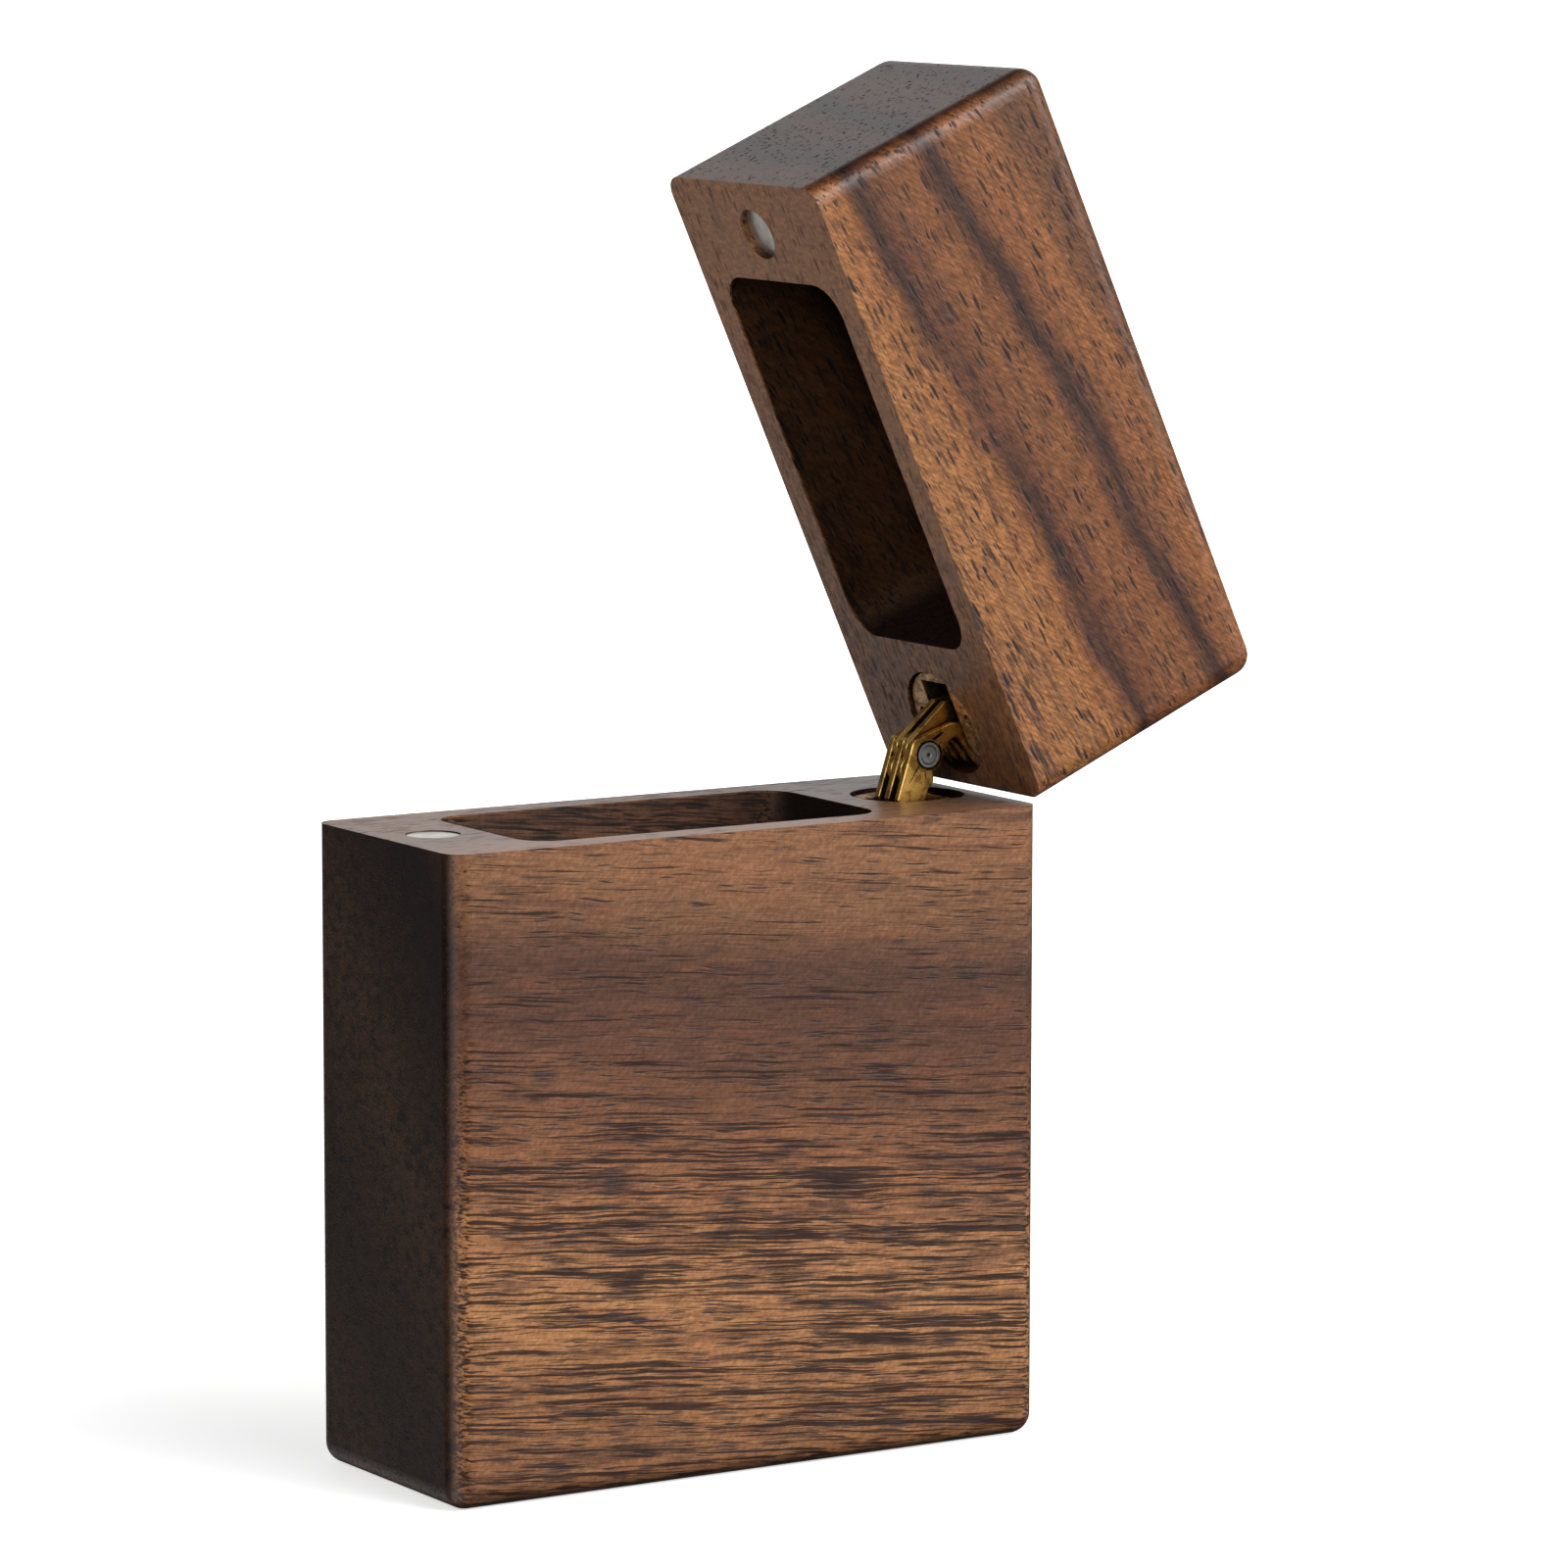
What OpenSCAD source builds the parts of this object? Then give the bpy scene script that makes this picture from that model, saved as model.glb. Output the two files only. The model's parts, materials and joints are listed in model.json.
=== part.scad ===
// Flip-top pick case: a small hardwood block cut into a deep base and a shallow lid,
// joined at one end by a concealed barrel hinge and held shut by two disc magnets.
// Millimetres. Origin at the centre of the base underside, front face towards -Y,
// hinge end towards +X, up is +Z. The lid is drawn swung open.

/* [Case] */
// Length of the case, free end to hinge end
case_l = 50; // [48:0.5:56]
// Thickness of the case, front to back
case_t = 20.5; // [20:0.5:24]
// Height of the base block
base_h = 47.5; // [40:0.5:60]
// Height of the lid block
lid_h = 21.5; // [18:0.5:30]
// Rounding of every outer edge and corner away from the mating faces
edge_round = 1.6; // [1.2:0.1:2]
// How far the lid is drawn open, in degrees
lid_open = 66; // [30:1:110]

/* [Pocket] */
// Length of the pick pocket
pocket_l = 30; // [28:0.5:30.5]
// Width of the pick pocket, front to back
pocket_w = 15.2; // [12:0.1:15.4]
// Radius of the pocket corners
pocket_corner = 2.6; // [1.5:0.1:4]
// Wall between the free end and the pocket
pocket_from_end = 8; // [7.5:0.1:8.4]
// Depth of the pocket in the base
base_pocket_depth = 25; // [15:0.5:34]
// Depth of the pocket in the lid
lid_pocket_depth = 12; // [8:0.5:14]

/* [Magnets] */
// Diameter of each disc magnet
magnet_d = 4; // [3:0.5:4.5]
// Thickness of each disc magnet
magnet_t = 2; // [1.5:0.5:3]
// Centre of the magnets from the free end
magnet_from_end = 4.2; // [3.8:0.1:4.6]
// How far the lid magnet sits below its face
lid_magnet_sink = 0.6; // [0.1:0.1:1]
// How far the base magnet sits below its face
base_magnet_sink = 0.1; // [0.1:0.1:1]

/* [Hinge barrels] */
// Diameter of each hinge barrel
barrel_d = 8.3; // [8.2:0.1:8.4]
// Length of each hinge barrel
barrel_l = 11; // [10.8:0.1:13]
// Barrel axis from the hinge end of the case
barrel_from_end = 5.2; // [5:0.1:5.6]
// How far the barrel face sits below the wood
barrel_sink = 0.3; // [0.1:0.05:0.4]

/* [Hinge leaves] */
// Thickness of one leaf
leaf_t = 0.62; // [0.56:0.01:0.63]
// Spacing of the leaves along the pins
leaf_pitch = 0.66; // [0.65:0.01:0.66]
// Diameter of the pivot and slide pins
pin_d = 0.9; // [0.8:0.05:0.95]
// Diameter of the rivet heads
rivet_head_d = 1.95; // [1.8:0.05:2]

/* [Hidden] */
$fn = 64;
close_gap = 0.1;       // lid face to base face when shut
axis_out = 0.35;       // hinge line beyond the hinge end
pin_fit = 0.03;        // running clearance on radius
set_fit = 0.01;        // set-in clearance on radius
bore_clear = 0.15;     // barrel to wood on radius

pocket_x = -case_l / 2 + pocket_from_end + pocket_l / 2;
magnet_x = -case_l / 2 + magnet_from_end;
barrel_x = case_l / 2 - barrel_from_end;
bore_depth = barrel_sink + barrel_l + 0.2;

// slots in the barrels, measured from the barrel axis and the wood face
slot_w = 4 * leaf_pitch + leaf_t + 0.14;
slot_far = -3.3;
slot_near = 3.3;
slot_depth = 9.7;
slot_mouth_depth = 2.5;
track_w = 0.6;

// link layout, measured from the barrel axis and the wood face
pivot_x = 3.0;
pivot_z = -1.2;
link_c = 4.767;        // pivot hole to rivet
pivot_dir = -2.2;      // pivot hole seen from the rivet, in leaf_outline
slide_x = -0.24;
slide_z = -7.0;
axis_x = barrel_from_end + axis_out;
axis_z = close_gap / 2;

// rivet position: on the bisecting plane of the two faces, link_c from the base pivot
half = lid_open / 2;
to_axis_x = axis_x - pivot_x;
to_axis_z = axis_z - pivot_z;
along = to_axis_x * cos(half) - to_axis_z * sin(half);
reach = along + sqrt(along * along + link_c * link_c - to_axis_x * to_axis_x - to_axis_z * to_axis_z);
rivet_x = axis_x - reach * cos(half);
rivet_z = axis_z + reach * sin(half);

// the lid pivot, swung open with the lid, and the turn it gives the lid-side leaves
lid_dx = pivot_x - axis_x;
lid_dz = close_gap - pivot_z - axis_z;
lid_pivot_x = axis_x + lid_dx * cos(lid_open) + lid_dz * sin(lid_open);
lid_pivot_z = axis_z - lid_dx * sin(lid_open) + lid_dz * cos(lid_open);
leaf_turn = atan2(lid_pivot_z - rivet_z, lid_pivot_x - rivet_x) - pivot_dir;

// ---------- placing ----------

module swing() {
  translate([case_l / 2 + axis_out, 0, base_h + axis_z])
    rotate([0, lid_open, 0])
      translate([-case_l / 2 - axis_out, 0, -base_h - axis_z])
        children();
}

// frame on the base face, over the barrel axis
module on_base() {
  translate([barrel_x, 0, base_h]) children();
}

// the same frame mirrored onto the lid face
module on_lid() {
  swing() translate([barrel_x, 0, base_h + close_gap]) mirror([0, 0, 1]) children();
}

// stands a leaf_t thick plate up in the plane of travel, layer 0 at the front
module plate(layer) {
  y_back = (layer - 2) * leaf_pitch + leaf_t / 2;
  translate([0, y_back, 0]) rotate([90, 0, 0]) children();
}

module cross_pin(x, z, d, l) {
  translate([x, 0, z]) rotate([90, 0, 0]) cylinder(d = d, h = l, center = true);
}

// ---------- wood ----------

// the four corner posts of a block, one at each corner of the rounding's centre line
module at_posts() {
  for (sx = [-1, 1]) {
    for (sy = [-1, 1]) {
      translate([sx * (case_l / 2 - edge_round), sy * (case_t / 2 - edge_round), 0]) children();
    }
  }
}

// block under the plane z = 0 with square mating edges, every other edge and corner rounded
module soft_block(h) {
  r = edge_round;
  translate([-case_l / 2, r - case_t / 2, r - h]) cube([case_l, case_t - 2 * r, h - r]);
  translate([r - case_l / 2, -case_t / 2, r - h]) cube([case_l - 2 * r, case_t, h - r]);
  translate([r - case_l / 2, r - case_t / 2, -h]) cube([case_l - 2 * r, case_t - 2 * r, h]);
  at_posts() translate([0, 0, r - h]) cylinder(r = r, h = h - r);
  at_posts() translate([0, 0, r - h]) sphere(r = r);
  for (side = [-1, 1]) {
    translate([0, side * (case_t / 2 - r), r - h])
      rotate([0, 90, 0]) cylinder(r = r, h = case_l - 2 * r, center = true);
    translate([side * (case_l / 2 - r), 0, r - h])
      rotate([90, 0, 0]) cylinder(r = r, h = case_t - 2 * r, center = true);
  }
}

module pocket_shape() {
  square([pocket_l - 2 * pocket_corner, pocket_w], center = true);
  square([pocket_l, pocket_w - 2 * pocket_corner], center = true);
  for (sx = [-1, 1]) {
    for (sy = [-1, 1]) {
      translate([sx * (pocket_l / 2 - pocket_corner), sy * (pocket_w / 2 - pocket_corner)])
        circle(r = pocket_corner);
    }
  }
}

module wood_block(h, pocket_depth, magnet_sink) {
  difference() {
    soft_block(h);
    translate([pocket_x, 0, -pocket_depth]) linear_extrude(pocket_depth + 1) pocket_shape();
    translate([magnet_x, 0, -magnet_sink - magnet_t])
      cylinder(d = magnet_d + 2 * set_fit, h = magnet_sink + magnet_t + 1);
    translate([barrel_x, 0, -bore_depth]) cylinder(d = barrel_d + 2 * bore_clear, h = bore_depth + 1);
  }
}

module base_body() {
  color("sienna")
    translate([0, 0, base_h]) wood_block(base_h, base_pocket_depth, base_magnet_sink);
}

module lid_body() {
  color("peru")
    swing()
      translate([0, 0, base_h + close_gap])
        mirror([0, 0, 1]) wood_block(lid_h, lid_pocket_depth, lid_magnet_sink);
}

// ---------- magnets ----------

module base_magnet() {
  color("silver")
    translate([magnet_x, 0, base_h - base_magnet_sink - magnet_t]) cylinder(d = magnet_d, h = magnet_t);
}

module lid_magnet() {
  color("silver")
    swing()
      translate([magnet_x, 0, base_h + close_gap + lid_magnet_sink]) cylinder(d = magnet_d, h = magnet_t);
}

// ---------- hinge barrels ----------

module barrel() {
  difference() {
    translate([0, 0, -barrel_sink - barrel_l]) cylinder(d = barrel_d, h = barrel_l);
    translate([slot_far, -slot_w / 2, -slot_depth]) cube([slot_near - slot_far, slot_w, slot_depth]);
    translate([0, -slot_w / 2, -slot_mouth_depth]) cube([barrel_d, slot_w, slot_mouth_depth]);
    translate([-0.8, -slot_w / 2 - track_w, -8.2]) cube([3.1, slot_w + 2 * track_w, 6.7]);
    cross_pin(pivot_x, pivot_z, pin_d + 2 * set_fit, barrel_d);
    for (sy = [-1, 1]) {
      translate([-0.4, sy * 2.95, -barrel_sink - 0.25]) cylinder(d = 0.9, h = 1);
    }
  }
}

module base_barrel() {
  color("darkgoldenrod") on_base() barrel();
}

module lid_barrel() {
  color("darkgoldenrod") on_lid() barrel();
}

// ---------- hinge leaves ----------

// cranked leaf lying flat with the rivet at the origin: the hooked arm on the right
// ends in the pivot eye, the straight arm below ends in the slide eye
module leaf_blank() {
  eye_x = link_c * cos(pivot_dir);
  eye_z = link_c * sin(pivot_dir);
  linear_extrude(leaf_t)
    polygon([
      [-2.75, -3.24], [-1.38, 1.05], [-1.18, 1.24], [2.0, 2.33], [3.1, 2.32], [4.2, 1.7],
      [eye_x + 0.7, eye_z + 0.4], [eye_x - 0.4, eye_z - 0.7], [3.2, 0.5], [2.5, 1.25],
      [1.6, 0.8], [1.1, 0], [0.45, -1.23], [0.5, -2.05], [0, -2.7], [-0.3, -3.6],
      [slide_x + 0.8, slide_z + 0.1], [slide_x - 0.8, slide_z], [-2.5, -4.2]
    ]);
  cylinder(r = 1.36, h = leaf_t);
  translate([eye_x, eye_z, 0]) cylinder(r = 0.85, h = leaf_t);
  translate([slide_x, slide_z, 0]) cylinder(r = 0.85, h = leaf_t);
}

module leaf_drill(d) {
  translate([0, 0, -1]) cylinder(d = d, h = leaf_t + 2);
}

// leaf with its pivot and slide holes; the rivet hole is left to the caller
module leaf_drilled() {
  difference() {
    leaf_blank();
    translate([link_c * cos(pivot_dir), link_c * sin(pivot_dir), 0]) leaf_drill(pin_d + 2 * pin_fit);
    translate([slide_x, slide_z, 0]) leaf_drill(pin_d + 2 * set_fit);
  }
}

// leaf pivoted on the lid pin
module lid_leaf(layer, rivet_hole_d) {
  translate([barrel_x + rivet_x, 0, base_h + rivet_z])
    plate(layer)
      rotate([0, 0, leaf_turn])
        difference() {
          leaf_drilled();
          leaf_drill(rivet_hole_d);
        }
}

// leaf pivoted on the base pin: the same crank mirrored in the bisecting plane, with a
// slotted rivet hole that lets the two sets swing at a steady ratio
module base_leaf(layer) {
  slot_d = pin_d + 0.7;
  translate([barrel_x + rivet_x, 0, base_h + rivet_z])
    plate(layer)
      difference() {
        union() {
          mirror([cos(90 - half), sin(90 - half), 0]) rotate([0, 0, leaf_turn]) leaf_drilled();
          translate([-0.8, -1.23, 0]) cylinder(r = 1.3, h = leaf_t);
        }
        rotate([0, 0, 90 - half]) {
          translate([-1.5, 0, 0]) leaf_drill(slot_d);
          leaf_drill(slot_d);
          translate([-1.5, -slot_d / 2, -1]) cube([1.5, slot_d, leaf_t + 2]);
        }
      }
}

module front_leaf() {
  color("goldenrod") lid_leaf(0, rivet_head_d + 2 * set_fit);
}

module middle_leaf() {
  color("goldenrod") lid_leaf(2, pin_d + 2 * set_fit);
}

module rear_leaf() {
  color("goldenrod") lid_leaf(4, rivet_head_d + 2 * set_fit);
}

module inner_front_leaf() {
  color("gold") base_leaf(1);
}

module inner_rear_leaf() {
  color("gold") base_leaf(3);
}

// ---------- hinge pins ----------

// flush rivet: a ringed and dimpled head in each outer leaf
module center_rivet() {
  head_out = 2 * leaf_pitch + leaf_t / 2 + 0.04;
  head_in = 2 * leaf_pitch - leaf_t / 2;
  color("lightsteelblue")
    translate([barrel_x + rivet_x, 0, base_h + rivet_z])
      rotate([90, 0, 0])
        for (side = [0, 1]) {
          mirror([0, 0, side])
            difference() {
              union() {
                cylinder(d = pin_d, h = head_in);
                translate([0, 0, head_in]) cylinder(d = rivet_head_d, h = head_out - head_in);
              }
              translate([0, 0, head_out - 0.07])
                difference() {
                  cylinder(d = 1.5, h = 1);
                  translate([0, 0, -1]) cylinder(d = 1.24, h = 3);
                }
              translate([0, 0, head_out - 0.1]) cylinder(d = 0.46, h = 1);
            }
        }
}

module base_pivot_pin() {
  color("gray") on_base() cross_pin(pivot_x, pivot_z, pin_d, 4.9);
}

module lid_pivot_pin() {
  color("gray") on_lid() cross_pin(pivot_x, pivot_z, pin_d, 4.9);
}

// slide pin of the lid-side leaves, riding in the track of the base barrel
module lid_leaf_slide_pin() {
  color("gray")
    translate([barrel_x, 0, base_h])
      translate([rivet_x, 0, rivet_z]) rotate([0, -leaf_turn, 0])
        cross_pin(slide_x, slide_z, pin_d, slot_w + 2 * track_w - 0.2);
}

// slide pin of the base-side leaves, riding in the track of the lid barrel
module base_leaf_slide_pin() {
  color("gray")
    translate([barrel_x, 0, base_h])
      translate([rivet_x, 0, rivet_z]) mirror([cos(90 - half), 0, sin(90 - half)])
        rotate([0, -leaf_turn, 0]) cross_pin(slide_x, slide_z, pin_d, slot_w + 2 * track_w - 0.2);
}

base_body();
lid_body();
base_magnet();
lid_magnet();
base_barrel();
lid_barrel();
front_leaf();
middle_leaf();
rear_leaf();
inner_front_leaf();
inner_rear_leaf();
center_rivet();
base_pivot_pin();
lid_pivot_pin();
base_leaf_slide_pin();
lid_leaf_slide_pin();
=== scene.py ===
"""Flip-top walnut pick case, drawn open: materials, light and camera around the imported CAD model."""
import json
import math

import bpy
from mathutils import Matrix, Vector


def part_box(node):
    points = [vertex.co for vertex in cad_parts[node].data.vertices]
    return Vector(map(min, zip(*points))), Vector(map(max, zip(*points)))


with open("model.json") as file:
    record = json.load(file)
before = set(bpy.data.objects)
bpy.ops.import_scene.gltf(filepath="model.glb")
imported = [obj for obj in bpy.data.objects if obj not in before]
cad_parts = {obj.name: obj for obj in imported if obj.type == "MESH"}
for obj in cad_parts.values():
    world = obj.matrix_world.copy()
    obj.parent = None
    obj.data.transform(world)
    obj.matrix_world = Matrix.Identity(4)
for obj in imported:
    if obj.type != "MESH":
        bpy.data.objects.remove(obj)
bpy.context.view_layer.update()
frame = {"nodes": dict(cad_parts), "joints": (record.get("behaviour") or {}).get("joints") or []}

nodes = frame["nodes"]
scene = bpy.context.scene
MM = 1000.0     # millimetres in a metre

# the lid's hinge line and opening angle, and the base block's front and mating faces in mm
lid_hinge = next(joint for joint in frame["joints"] if joint["name"] == "lid_hinge")
HINGE = Vector(lid_hinge["pos_m"])
OPEN = -math.radians(lid_hinge["range_deg"][0])
base_low, base_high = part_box("base_body")
FRONT = base_low.y * MM
FACE = base_high.z * MM


# ---------- node helpers ----------

class Graph:
    """Builds the node tree of a material or a world from plain calls."""

    def __init__(self, owner):
        owner.use_nodes = True
        self.owner = owner
        self.tree = owner.node_tree
        self.tree.nodes.clear()

    def feed(self, socket, value):
        """Links value to socket if it is a socket too, else sets it as the socket's own value."""
        if isinstance(value, bpy.types.NodeSocket):
            self.tree.links.new(value, socket)
        else:
            socket.default_value = value

    def put(self, kind, inputs=None, **settings):
        node = self.tree.nodes.new(kind)
        for key, value in settings.items():
            setattr(node, key, value)
        for key, value in (inputs or {}).items():
            self.feed(node.inputs[key], value)
        return node

    def calc(self, operation, a, b=0.0, c=0.0):
        return self.put("ShaderNodeMath", {0: a, 1: b, 2: c}, operation=operation).outputs[0]

    def add(self, a, b):
        return self.calc("ADD", a, b)

    def mul(self, a, b):
        return self.calc("MULTIPLY", a, b)

    def madd(self, a, b, c):
        """a * b + c"""
        return self.calc("MULTIPLY_ADD", a, b, c)

    def size_of(self, value):
        return self.calc("ABSOLUTE", value)

    def largest(self, first, *others):
        for other in others:
            first = self.calc("MAXIMUM", first, other)
        return first

    def vector(self, x, y, z):
        return self.put("ShaderNodeCombineXYZ", {0: x, 1: y, 2: z}).outputs[0]

    def split(self, vector):
        return self.put("ShaderNodeSeparateXYZ", {0: vector}).outputs

    def split_mm(self, point):
        """The three parts of a point in metres, in millimetres."""
        node = self.put("ShaderNodeVectorMath", {0: point, "Scale": MM}, operation="SCALE")
        return self.split(node.outputs[0])

    def turned(self, vector, angle, centre=(0, 0, 0)):
        """The vector turned by angle about the line along y through centre."""
        inputs = {"Vector": vector, "Center": centre, "Axis": (0, 1, 0), "Angle": angle}
        return self.put("ShaderNodeVectorRotate", inputs, rotation_type="AXIS_ANGLE").outputs[0]

    def scaled(self, xyz, sizes, shift=0.0):
        """The point xyz with each part divided by its own size, moved along by shift."""
        x, y, z = xyz
        along, across, up = sizes
        return self.vector(self.madd(x, 1 / along, shift), self.madd(y, 1 / across, 3.1 * shift),
                           self.madd(z, 1 / up, 0.0))

    def noise(self, xyz, sizes, shift=0.0, detail=2.0, rough=0.5):
        """Cloudy noise, about 0.2 to 0.8, with its own size in each direction."""
        place = self.scaled(xyz, sizes, shift)
        inputs = {"Vector": place, "Scale": 1.0, "Detail": detail, "Roughness": rough}
        return self.put("ShaderNodeTexNoise", inputs).outputs["Fac"]

    def cells(self, xyz, sizes, shift):
        """Distance to the nearest cell point, and that cell's three random numbers."""
        inputs = {"Vector": self.scaled(xyz, sizes, shift), "Scale": 1.0, "Randomness": 1.0}
        node = self.put("ShaderNodeTexVoronoi", inputs)
        chance = self.put("ShaderNodeSeparateColor", {0: node.outputs["Color"]})
        return node.outputs["Distance"], chance.outputs

    def span(self, value, low, high, to_low=0.0, to_high=1.0):
        """Smooth step of value from low..high to to_low..to_high."""
        inputs = {"Value": value, "From Min": low, "From Max": high, "To Min": to_low, "To Max": to_high}
        return self.put("ShaderNodeMapRange", inputs, interpolation_type="SMOOTHSTEP").outputs["Result"]

    def within(self, value, limits):
        """1 where value is between the two limits, else 0."""
        low, high = limits
        return self.calc("COMPARE", value, (low + high) / 2, (high - low) / 2)

    def openness(self, reach, samples):
        """1 on open surfaces, falling towards 0 in gaps narrower than reach mm."""
        node = self.put("ShaderNodeAmbientOcclusion", {"Distance": reach / MM}, samples=samples)
        return node.outputs["AO"]

    def ramp(self, value, stops):
        node = self.put("ShaderNodeValToRGB", {"Fac": value})
        points = node.color_ramp.elements
        while len(points) < len(stops):
            points.new(1.0)
        for point, (place, colour) in zip(points, sorted(stops)):
            point.position = place
            point.color = colour
        return node.outputs["Color"]

    def mix(self, factor, a, b, blend="MIX"):
        node = self.put("ShaderNodeMix", data_type="RGBA", blend_type=blend)
        for place, value in ((0, factor), (6, a), (7, b)):
            self.feed(node.inputs[place], value)
        return node.outputs[2]

    def times(self, colour, other, factor=1.0):
        return self.mix(factor, colour, other, "MULTIPLY")

    def varied(self, colour, pattern, dark, light):
        """The colour times dark where pattern is low and times light where it is high."""
        return self.times(colour, self.ramp(pattern, [(0.3, (*dark, 1)), (0.7, (*light, 1))]))

    def tinted(self, colour, pattern, low, high, amount, tint):
        """The colour blended by amount towards tint where pattern climbs from low to high."""
        return self.mix(self.span(pattern, low, high, 0.0, amount), colour, tint)

    def finish(self, kind, shader):
        out = self.put(kind)
        self.tree.links.new(shader.outputs[0], out.inputs[0])
        return self.owner

    def shade(self, colour, roughness, height, depth, **fixed):
        """Principled surface with a bump of the given depth in metres."""
        bump = self.put("ShaderNodeBump", {"Height": height, "Distance": depth, "Strength": 1.0})
        inputs = {"Base Color": colour, "Roughness": roughness, "Normal": bump.outputs[0], **fixed}
        return self.finish("ShaderNodeOutputMaterial", self.put("ShaderNodeBsdfPrincipled", inputs))


def material_graph(name):
    return Graph(bpy.data.materials.new(name))


def srgb(r, g, b):
    """A colour given as 0..255 display values, as Blender's linear colour."""
    def linear(v):
        v /= 255.0
        return v / 12.92 if v <= 0.04045 else ((v + 0.055) / 1.055) ** 2.4
    return (linear(r), linear(g), linear(b), 1.0)


# ---------- walnut ----------

GROWTH_LINE = srgb(88, 60, 48)
WARM_PATCH = srgb(140, 86, 58)
SOFT_STREAK = srgb(74, 50, 42)
STAIN = srgb(50, 40, 41)
OPEN_PORE = srgb(33, 20, 17)
SANDED_FACE = srgb(112, 80, 60)
# the dark colour painted as shade into bores and recesses
RECESS_SHADE = (0.2, 0.18, 0.17, 1)
RECESS_SHADE_REACH = 1.2            # mm: gaps narrower than this get painted shade
END_FACING = (0.6, 0.98)    # how squarely a surface faces along the grain: long grain to end grain
FLAT_FACING = (0.9, 0.99)   # how squarely it faces up or down in the shut case
THIN_STREAK = (0.3, 0.2)    # mm across and up
WALNUT_BUMP = 0.00003       # metres

# the routed pocket in the shut case, in mm: a little past its walls, short of the mating faces
POCKET_X = (-17.3, 13.3)
POCKET_Y = (-7.9, 7.9)
LID_POCKET_Z = (FACE + 0.25, FACE + 14)
BASE_POCKET_Z = (FACE - 27, FACE - 0.15)


def centred(g, noise, amount):
    """Noise around 0.5 turned into a swing of amount around 0."""
    return g.madd(noise, amount, -amount / 2)


def growth(g, xyz, slope_x, slope_y, wander, seed):
    """The growth layer that a point lies in, as its height in mm, and the point measured along the grain."""
    x, y, z = xyz
    waves = g.noise(xyz, (26, 9, 9), seed)
    ripple = g.noise(xyz, (7, 3, 3), seed + 5)
    lean = g.madd(x, -slope_x, g.mul(g.madd(y, 1.0, -FRONT), -slope_y))
    layer = g.add(z, g.add(lean, g.add(centred(g, waves, wander), centred(g, ripple, 1.4))))
    grain_z = g.add(z, g.add(g.mul(x, -slope_x), centred(g, ripple, 0.5)))
    return layer, (x, y, grain_z)


def band_colour(g, layer, bands):
    """The broad bands' colour at a growth layer."""
    low, high = bands[0][0], bands[-1][0]
    place = g.madd(layer, 1 / (high - low), -low / (high - low))
    return g.ramp(place, [((height - low) / (high - low), srgb(*colour)) for height, colour in bands])


def streaked(g, ground, layer, grain, crowd, look, seed):
    """Growth lines, warm patches, soft streaks and short blue-black stains between the broad bands."""
    x, y, _ = grain
    lines = g.noise((x, y, layer), (30, 12.5, 1.1), 0.0, 3.0, 0.6)
    ground = g.tinted(ground, lines, 0.52, 0.74, 0.5, GROWTH_LINE)
    warm = g.noise(grain, (9, 2.2, 1.5), seed + 2)
    ground = g.tinted(ground, warm, 0.5, 0.7, 0.22, WARM_PATCH)
    soft = g.noise(grain, (9, 1.1, 0.8), seed + 9, 3.0, 0.55)
    ground = g.tinted(ground, g.madd(crowd, 0.06, soft), 0.54, 0.72, look["soft"], SOFT_STREAK)
    stains = g.noise(grain, (4.6, 1.0, 0.75), seed + 13)
    return g.tinted(ground, g.madd(crowd, 0.07, stains), 0.62, 0.74, look["stain"], STAIN)


def fibred(g, ground, fibres, grain, xyz, amount, seed):
    """Fibres, cross flecks and a fine slanting figure whose lighter and darker stripes are partly the wood's
    figure and partly a painted sheen.
    """
    ground = g.varied(ground, fibres, (0.66, 0.64, 0.62), (1.3, 1.31, 1.32))
    flecks = g.noise(grain, (0.34, 0.6, 0.5), seed + 21, 2.0, 0.6)
    ground = g.varied(ground, flecks, (0.8, 0.78, 0.76), (1.18, 1.19, 1.2))
    x, y, z = xyz
    # slanting stripes: partly figure, partly painted sheen
    slant = (g.madd(z, 0.8, x), y, g.madd(x, -0.8, z))
    figure_and_sheen = g.noise(slant, (1.5, 0.8, 0.26), seed + 61, 2.0, 0.55)
    figure_and_sheen = g.span(figure_and_sheen, 0.36, 0.64, 1.0 - amount, 1.0 + amount)
    return g.times(ground, g.vector(figure_and_sheen, figure_and_sheen, figure_and_sheen))


def pores(g, grain, length, width, share, seed):
    """Open pores: long thin cells, of which a share is there, each with its own size and darkness."""
    x, y, z = grain
    bend = g.noise(grain, (1.6, 0.5, 0.5), seed, 1.0)
    bent = (x, y, g.add(z, centred(g, bend, 0.3)))
    distance, chance = g.cells(bent, (length, width, width), seed)
    there = g.calc("LESS_THAN", chance[0], share)
    size = g.madd(chance[1], 0.22, 0.28)
    spot = g.mul(g.span(distance, size, g.mul(size, 0.5)), there)
    return g.mul(spot, g.madd(chance[2], 0.5, 0.5))


def marks(g, grain, crowd, look, seed):
    """All the pores, and the pores together with the thin dark streaks."""
    thin = g.noise(grain, (look["streak_l"], *THIN_STREAK), seed + 17, 3.0, 0.6)
    thin = g.span(g.madd(crowd, 0.1, thin), 0.605, 0.66, 0.0, look["streak"])
    share = g.span(crowd, 0.0, 1.0, *look["share"])
    length, width = look["pore"]
    large = pores(g, grain, length, width, share, seed + 3)
    small = pores(g, grain, length * 0.55, width * 0.8, g.mul(share, 0.7), seed + 31)
    pore = g.largest(large, small)
    return pore, g.largest(pore, thin)


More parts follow.
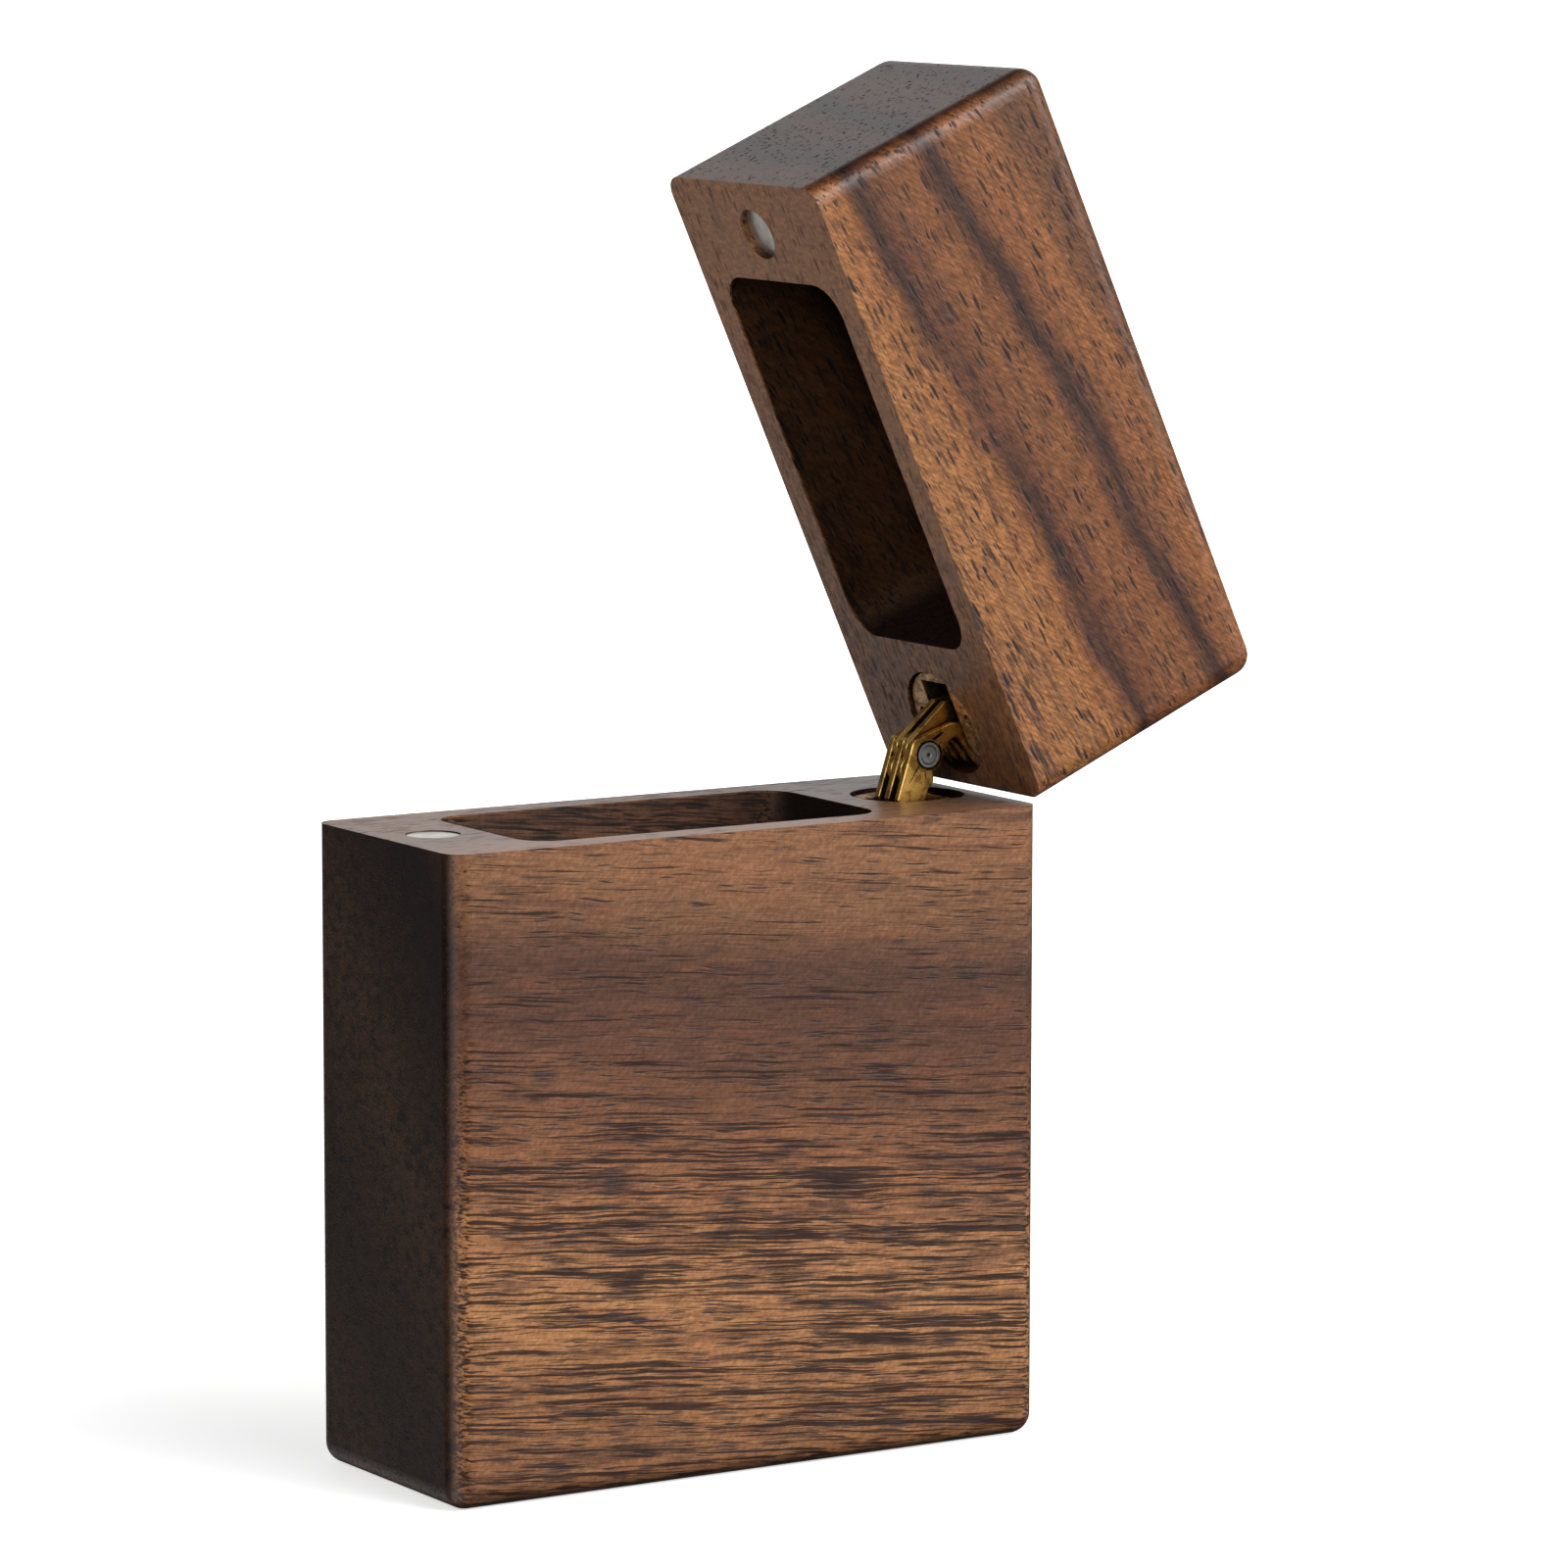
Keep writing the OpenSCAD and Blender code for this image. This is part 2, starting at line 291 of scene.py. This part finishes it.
def walnut(name, lid, bands, slope_x, slope_y, look, seed):
    """Walnut with its grain along the case. bands are (height in mm, colour) on the front face. A growth
    layer climbs by slope_x along the case and by slope_y from front to back. look holds the sizes and
    amounts of the pores, streaks and stains. The lid is worked out as if it were shut."""
    g = material_graph(name)
    coords = g.put("ShaderNodeTexCoord")
    point, normal = coords.outputs["Object"], coords.outputs["Normal"]
    if lid:
        point, normal = g.turned(point, -OPEN, HINGE), g.turned(normal, -OPEN)
    x, y, z = xyz = tuple(g.split_mm(point))
    facing_x, _, facing_z = g.split(normal)
    end = g.span(g.size_of(facing_x), *END_FACING)
    flat = g.span(g.size_of(facing_z), *FLAT_FACING)

    layer, grain = growth(g, xyz, slope_x, slope_y, look["wander"], seed)
    dense = g.span(layer, look["dense_top"], look["dense_low"])
    cluster = g.noise(grain, (8, 3, 2.4), seed + 41)
    crowd = g.add(dense, centred(g, cluster, 1.4))
    fibres = g.noise(grain, (2.4, 0.13, 0.11), seed, 3.0, 0.65)
    pore, mark = marks(g, grain, crowd, look, seed)

    ground = band_colour(g, layer, bands)
    ground = streaked(g, ground, layer, grain, crowd, look, seed)
    ground = fibred(g, ground, fibres, grain, xyz, look["figure_and_sheen"], seed)
    ground = g.mix(g.mul(flat, 0.5), ground, SANDED_FACE)
    mark = g.mul(g.mul(mark, g.madd(end, -0.9, look["mark"])), g.madd(flat, -0.45, 1.0))
    ground = g.mix(mark, ground, OPEN_PORE)

    # end grain is darker, partly its own oiled tone and partly painted shade on the end faces; bores and
    # recesses get painted shade; the routed pocket is dark, partly its own tone and partly painted shade,
    # and rough
    ground = g.times(ground, look["end"], end)
    recess_shade_mask = g.span(g.openness(RECESS_SHADE_REACH, samples=6), 0.3, 0.8, 0.85, 0.0)
    ground = g.times(ground, RECESS_SHADE, recess_shade_mask)
    pocket_z = LID_POCKET_Z if lid else BASE_POCKET_Z
    inside = g.mul(g.mul(g.within(x, POCKET_X), g.within(y, POCKET_Y)), g.within(z, pocket_z))
    # the pocket's darkening is partly its own routed tone and partly painted shade
    pocket_shade_and_tone = look["pocket"]
    ground = g.times(ground, (pocket_shade_and_tone, pocket_shade_and_tone * 0.95, pocket_shade_and_tone * 0.9, 1), inside)
    chatter = g.noise(xyz, (0.7, 0.7, 2.5), seed + 51, 3.0, 0.6)

    height = g.add(g.madd(fibres, 0.3, g.mul(pore, -0.4)), g.mul(g.mul(inside, chatter), 3.0))
    rough = g.add(g.madd(fibres, 0.14, 0.25), g.add(g.mul(pore, 0.35), g.mul(inside, 0.25)))
    return g.shade(ground, rough, height, WALNUT_BUMP, **{"Specular IOR Level": 0.3})


BASE_BANDS = [
    (-28, (118, 80, 54)), (-18, (136, 93, 61)), (-8, (106, 71, 49)), (0, (122, 83, 56)),
    (5, (140, 96, 62)), (13, (160, 113, 74)), (18, (150, 104, 69)), (23, (126, 84, 57)),
    (28.5, (104, 69, 49)), (33.6, (84, 56, 43)), (37.6, (80, 54, 42)), (40.6, (110, 76, 54)),
    (44, (126, 88, 61)), (50, (128, 89, 62)),
]
LID_BANDS = [
    (44, (142, 95, 58)), (50, (146, 98, 58)), (53, (136, 87, 50)), (54.6, (56, 35, 29)),
    (56.4, (98, 60, 39)), (59, (120, 76, 45)), (60.4, (116, 72, 43)), (62, (50, 32, 28)),
    (63.8, (120, 75, 45)), (66, (132, 84, 49)), (68, (96, 63, 41)), (74, (106, 70, 46)),
]
# wander, the dense layers' heights, streak length and pore length and width are in mm; the rest are amounts
BASE_LOOK = {
    "wander": 4.0, "dense_top": 36, "dense_low": 22, "soft": 0.6, "stain": 0.65,
    "streak": 0.95, "streak_l": 8.5, "share": (0.2, 0.85), "pore": (4.6, 0.3), "mark": 0.95,
    "figure_and_sheen": 0.11, "pocket": 0.45, "end": (0.14, 0.135, 0.14, 1),
}
LID_LOOK = {
    "wander": 4.0, "dense_top": 50, "dense_low": 44, "soft": 0.6, "stain": 0.7,
    "streak": 0.55, "streak_l": 2.6, "share": (0.55, 0.85), "pore": (2.5, 0.42), "mark": 1.05,
    "figure_and_sheen": 0.28, "pocket": 0.2, "end": (0.24, 0.195, 0.185, 1),
}
base_wood = walnut("walnut_base", False, BASE_BANDS, -0.09, 1.3, BASE_LOOK, 0.0)
lid_wood = walnut("walnut_lid", True, LID_BANDS, 0.15, 0.1, LID_LOOK, 17.0)


# ---------- metals ----------

METAL_BUMP = 0.00001                    # metres
GRIT_SHIFT, SCRATCH_SHIFT = 4.0, 7.0    # keep the two patterns apart


def darker(colour, *shares):
    """The colour with each part cut to its own share."""
    return tuple(part * share for part, share in zip(colour, shares)) + (1,)


def metal(name, light, dark, tarnish, size_mm, rough, patches, grime_and_shade=0.0, reach=1.5):
    """Worn metal: two tones in soft patches, finely scratched, darkened in gaps narrower than reach mm,
    partly grime and partly painted shade.
    """
    g = material_graph(name)
    xyz = g.split_mm(g.put("ShaderNodeTexCoord").outputs["Object"])
    clouds = g.noise(xyz, (size_mm, size_mm, size_mm), 0.0, 5.0, 0.62)
    grit = g.noise(xyz, (0.1, 0.1, 0.1), GRIT_SHIFT, 3.0, 0.6)
    scratches = g.noise(xyz, (0.9, 0.9, 0.05), SCRATCH_SHIFT, 2.0, 0.6)
    colour = g.mix(g.span(clouds, *patches), (*light, 1), (*dark, 1))
    colour = g.tinted(colour, grit, 0.52, 0.72, tarnish, darker(dark, 0.35, 0.33, 0.3))
    # gaps darkened: partly grime, partly painted shade
    gap_grime_and_shade = g.span(g.openness(reach, samples=8), 0.25, 0.85, grime_and_shade, 0.0)
    colour = g.mix(gap_grime_and_shade, colour, darker(dark, 0.08, 0.07, 0.06))
    roughness = g.add(g.madd(clouds, 0.25, rough - 0.12), g.mul(scratches, 0.12))
    height = g.add(g.mul(grit, 0.6), g.mul(scratches, 0.4))
    return g.shade(colour, roughness, height, METAL_BUMP, Metallic=1.0)


brass = metal("aged_brass", (1.0, 0.62, 0.17), (0.52, 0.28, 0.06), 0.85, 1.2, 0.32, (0.5, 0.6),
              grime_and_shade=0.95, reach=2.2)
barrel_brass = metal("barrel_brass", (1.0, 0.68, 0.40), (0.42, 0.26, 0.14), 0.8, 0.7, 0.5, (0.42, 0.6),
                     grime_and_shade=0.95, reach=4.0)
nickel = metal("nickel", (0.80, 0.77, 0.71), (0.60, 0.57, 0.52), 0.25, 1.2, 0.34, (0.4, 0.7))
steel = metal("pin_steel", (0.62, 0.68, 0.68), (0.36, 0.40, 0.40), 0.5, 0.5, 0.36, (0.45, 0.65))

# the rivet head's marks, in mm from its axis
RING_RADIUS = 0.685
DIMPLE_EDGE = (0.1, 0.25)
RIM_EDGE = (0.9, 0.96)


def rivet_steel(centre):
    """Pin steel darkened in the head's ring, dimple and rim, partly grime and partly painted shade."""
    g = material_graph("rivet_steel")
    point = g.put("ShaderNodeTexCoord").outputs["Object"]
    offset = g.put("ShaderNodeVectorMath", {0: point, 1: centre}, operation="SUBTRACT").outputs[0]
    x, y, z = g.split_mm(offset)
    radius = g.calc("SQRT", g.add(g.mul(x, x), g.mul(z, z)))
    ring = g.span(g.size_of(g.add(radius, -RING_RADIUS)), 0.02, 0.08, 1.0, 0.0)
    dimple = g.span(radius, *DIMPLE_EDGE, 1.0, 0.0)
    # ring, dimple and rim darkened: partly grime, partly painted shade
    grime_and_shade = g.largest(ring, dimple, g.span(radius, *RIM_EDGE))
    grit = g.noise((x, y, z), (0.14, 0.14, 0.14), GRIT_SHIFT, 3.0, 0.6)
    colour = g.ramp(grit, [(0.3, (0.85, 0.97, 0.97, 1)), (0.7, (0.6, 0.7, 0.7, 1))])
    colour = g.mix(g.mul(grime_and_shade, 0.85), colour, (0.03, 0.03, 0.028, 1))
    return g.shade(colour, 0.38, g.add(grit, g.mul(grime_and_shade, -1.0)), METAL_BUMP, Metallic=1.0)


rivet_low, rivet_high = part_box("center_rivet")
FINISH = {
    "base_body": base_wood, "lid_body": lid_wood,
    "base_magnet": nickel, "lid_magnet": nickel,
    "base_barrel": barrel_brass, "lid_barrel": barrel_brass,
    "front_leaf": brass, "middle_leaf": brass, "rear_leaf": brass,
    "inner_front_leaf": brass, "inner_rear_leaf": brass,
    "center_rivet": rivet_steel((rivet_low + rivet_high) / 2),
    "base_pivot_pin": steel, "lid_pivot_pin": steel,
    "base_leaf_slide_pin": steel, "lid_leaf_slide_pin": steel,
}
for name, material in FINISH.items():
    slots = nodes[name].data.materials
    slots.clear()
    slots.append(material)

# the stamped leaves and turned barrels are not knife sharp: bevel widths in mm
EDGES = {
    "front_leaf": 0.2, "middle_leaf": 0.1, "rear_leaf": 0.1,
    "inner_front_leaf": 0.1, "inner_rear_leaf": 0.1,
    "base_barrel": 0.08, "lid_barrel": 0.08,
}
SHARP = math.radians(50)    # edges turning by more than this are bevelled
for name, width in EDGES.items():
    weld = nodes[name].modifiers.new("weld", "WELD")
    weld.merge_threshold = 1e-6
    bevel = nodes[name].modifiers.new("soft_edges", "BEVEL")
    bevel.width = width / MM
    bevel.segments = 2
    bevel.limit_method = "ANGLE"
    bevel.angle_limit = SHARP
    bevel.use_clamp_overlap = False
    bevel.harden_normals = True


# ---------- floor ----------

FLOOR_HALF = 8          # metres, past the edge of any view
FLOOR_DROP = 0.00005    # just under the case, so that the two faces don't meet

corners = [(-FLOOR_HALF, -FLOOR_HALF, 0), (FLOOR_HALF, -FLOOR_HALF, 0),
           (FLOOR_HALF, FLOOR_HALF, 0), (-FLOOR_HALF, FLOOR_HALF, 0)]
floor_mesh = bpy.data.meshes.new("floor")
floor_mesh.from_pydata(corners, [], [(0, 1, 2, 3)])
floor = bpy.data.objects.new("floor", floor_mesh)
floor.location.z = -FLOOR_DROP
scene.collection.objects.link(floor)
floor.visible_diffuse = False
floor.visible_glossy = False
paper = material_graph("floor_paper")
floor_mesh.materials.append(paper.shade((0.9, 0.9, 0.9, 1), 0.9, 0.5, 0.0001, **{
    "Specular IOR Level": 0.1, "Emission Color": (1, 1, 1, 1), "Emission Strength": 0.6}))


# ---------- light ----------

# soft patches of light in the sky: direction, cosine where each starts and is full, strength
GLOWS = {
    "key": ((0.64, -0.58, 0.52), 0.8, 0.97, 6.0),
    "strip": ((0.2, -0.72, 0.66), 0.95, 0.985, 5.0),
    "back": ((0.42, 0.84, 0.28), 0.8, 0.99, 0.8),
    "under": ((-0.25, 0.84, -0.47), 0.92, 0.99, 0.42),
    "bounce": ((-0.75, -0.25, -0.61), 0.75, 0.97, 1.9),
    "card": ((0.52, -0.84, -0.13), 0.86, 0.98, 0.3),
    "spark": ((-0.76, -0.52, 0.4), 0.9, 0.98, 3.0),
}
AMBIENT = 0.07
WHITE = (1.0, 1.0, 1.0, 1)

scene.world = bpy.data.worlds.new("studio")
sky = Graph(scene.world)
direction = sky.put("ShaderNodeTexCoord").outputs["Generated"]
fill = AMBIENT
for towards, start, full, strength in GLOWS.values():
    inputs = {0: direction, 1: Vector(towards).normalized()}
    facing = sky.put("ShaderNodeVectorMath", inputs, operation="DOT_PRODUCT").outputs["Value"]
    fill = sky.add(fill, sky.span(facing, start, full, 0.0, strength))
# the case is lit by the glows, and the camera sees plain white behind it
seen = sky.put("ShaderNodeLightPath").outputs["Is Camera Ray"]
level = sky.mix(seen, sky.vector(fill, fill, fill), WHITE)
sky.finish("ShaderNodeOutputWorld", sky.put("ShaderNodeBackground", {"Color": level, "Strength": 1.0}))
scene.view_settings.view_transform = "Standard"


# ---------- camera ----------

# it looks at a point between the two blocks, from the front left and a little above; lengths in mm
AIM = Vector((8.95, 0.0, 49.03)) / MM
DISTANCE = 543.3 / MM
YAW, PITCH, ROLL = math.radians(31.98), math.radians(7.71), math.radians(0.06)
ahead = Vector((math.sin(YAW) * math.cos(PITCH), math.cos(YAW) * math.cos(PITCH), -math.sin(PITCH)))
right = Vector((math.cos(YAW), -math.sin(YAW), 0.0))
up = right.cross(ahead)
right, up = right * math.cos(ROLL) + up * math.sin(ROLL), up * math.cos(ROLL) - right * math.sin(ROLL)
camera = bpy.data.objects.new("camera", bpy.data.cameras.new("camera"))
scene.collection.objects.link(camera)
camera.data.sensor_width = 36.0
camera.data.lens = 168.55
camera.data.clip_start, camera.data.clip_end = 0.01, 50.0
turn = Matrix((right, up, -ahead)).transposed().to_4x4()
camera.matrix_world = Matrix.Translation(AIM - ahead * DISTANCE) @ turn
scene.camera = camera
